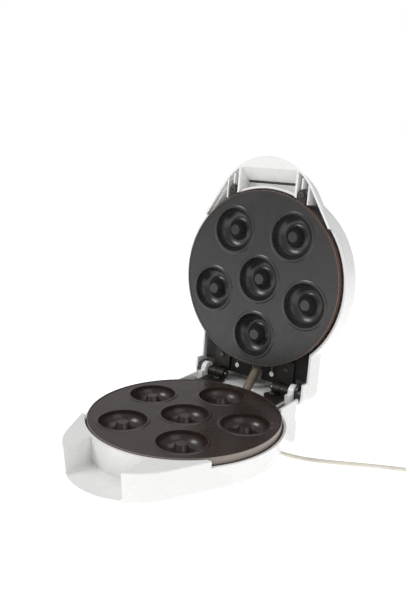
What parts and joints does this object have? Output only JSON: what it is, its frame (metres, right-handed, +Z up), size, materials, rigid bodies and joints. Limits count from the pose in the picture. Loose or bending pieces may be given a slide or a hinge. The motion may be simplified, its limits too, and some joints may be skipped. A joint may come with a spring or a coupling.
{
  "type": "donut maker",
  "caption": "Clam-shell electric donut maker: white base and hinged white lid, each with a round dark plate of ring-shaped cavities, shown open with its lead.",
  "frame": {"origin": "on the surface it stands on, below the middle of the object's box without its cord", "axes": "+Z up, -Y towards the handles and the user, +Y towards the hinge, +X to the right seen from the front"},
  "size_m": [0.3672, 0.3546, 0.3084],
  "materials": {
    "white_shell": "glossy moulded white",
    "nonstick_coating": "die-cast with dark satin non-stick coating",
    "dark_steel": "dark brown-black finish",
    "pin_steel": "turned steel",
    "black_plastic": "black moulded",
    "screw_steel": "zinc plated",
    "clamp_fibre": "off-white moulded",
    "reflector_sheet": "rolled sheet",
    "black_sheet": "black painted sheet",
    "element_sheath": "heat-tinted sheath",
    "thermostat_metal": "pressed cap",
    "fuse_metal": "small can",
    "lead_insulation": "white insulation",
    "cord_jacket": "cream flexible jacket",
    "cord_rubber": "cream moulded relief",
    "glass_fibre_sleeve": "khaki woven glass fibre",
    "tie_black": "black tie",
    "plug_plastic": "cream moulded",
    "blade_brass": "bright",
    "foot_rubber": "dark grey rubber",
    "red_lens": "red translucent",
    "green_lens": "green translucent",
    "lamp_glass": "clear bulb"
  },
  "bodies": {
    "base": {"clamp_screws": "screw_steel", "cord_clamp": "clamp_fibre", "cord_coil": "cord_jacket", "cord_tie": "tie_black", "hinge_pin_left": "pin_steel", "hinge_pin_right": "pin_steel", "lead_end": "cord_jacket", "lower_bracket_screws": "screw_steel", "lower_heating_element": "element_sheath", "lower_hinge_bracket_left": "dark_steel", "lower_hinge_bracket_right": "dark_steel", "lower_housing": "white_shell", "lower_leads": "lead_insulation", "lower_plate": "nonstick_coating", "lower_plate_screws": "screw_steel", "lower_reflector": "reflector_sheet", "mains_cord": "cord_jacket", "plug_blades": "blade_brass", "plug_body": "plug_plastic", "rubber_feet": "foot_rubber", "strain_relief": "cord_rubber", "terminal_block": "clamp_fibre", "thermal_fuse": "fuse_metal", "thermostat": "thermostat_metal", "wire_sleeve": "glass_fibre_sleeve"},
    "lid": {"neon_lamps": "lamp_glass", "pivot_bush_left": "black_plastic", "pivot_bush_right": "black_plastic", "power_lamp_lens": "red_lens", "ready_lamp_lens": "green_lens", "upper_bracket_screws": "screw_steel", "upper_heating_element": "element_sheath", "upper_hinge_bracket_left": "dark_steel", "upper_hinge_bracket_right": "dark_steel", "upper_housing": "white_shell", "upper_leads": "lead_insulation", "upper_plate": "nonstick_coating", "upper_plate_screws": "screw_steel", "upper_reflector": "black_sheet", "upper_thermal_fuse": "fuse_metal"}
  },
  "joints": [
    {"name": "lid_hinge", "type": "hinge", "parent": "base", "child": "lid", "pos_m": [0, 0.0996, 0.0522], "axis": [1, 0, 0], "range_deg": [0, 95], "deforming": ["wire_sleeve"]}
  ]
}
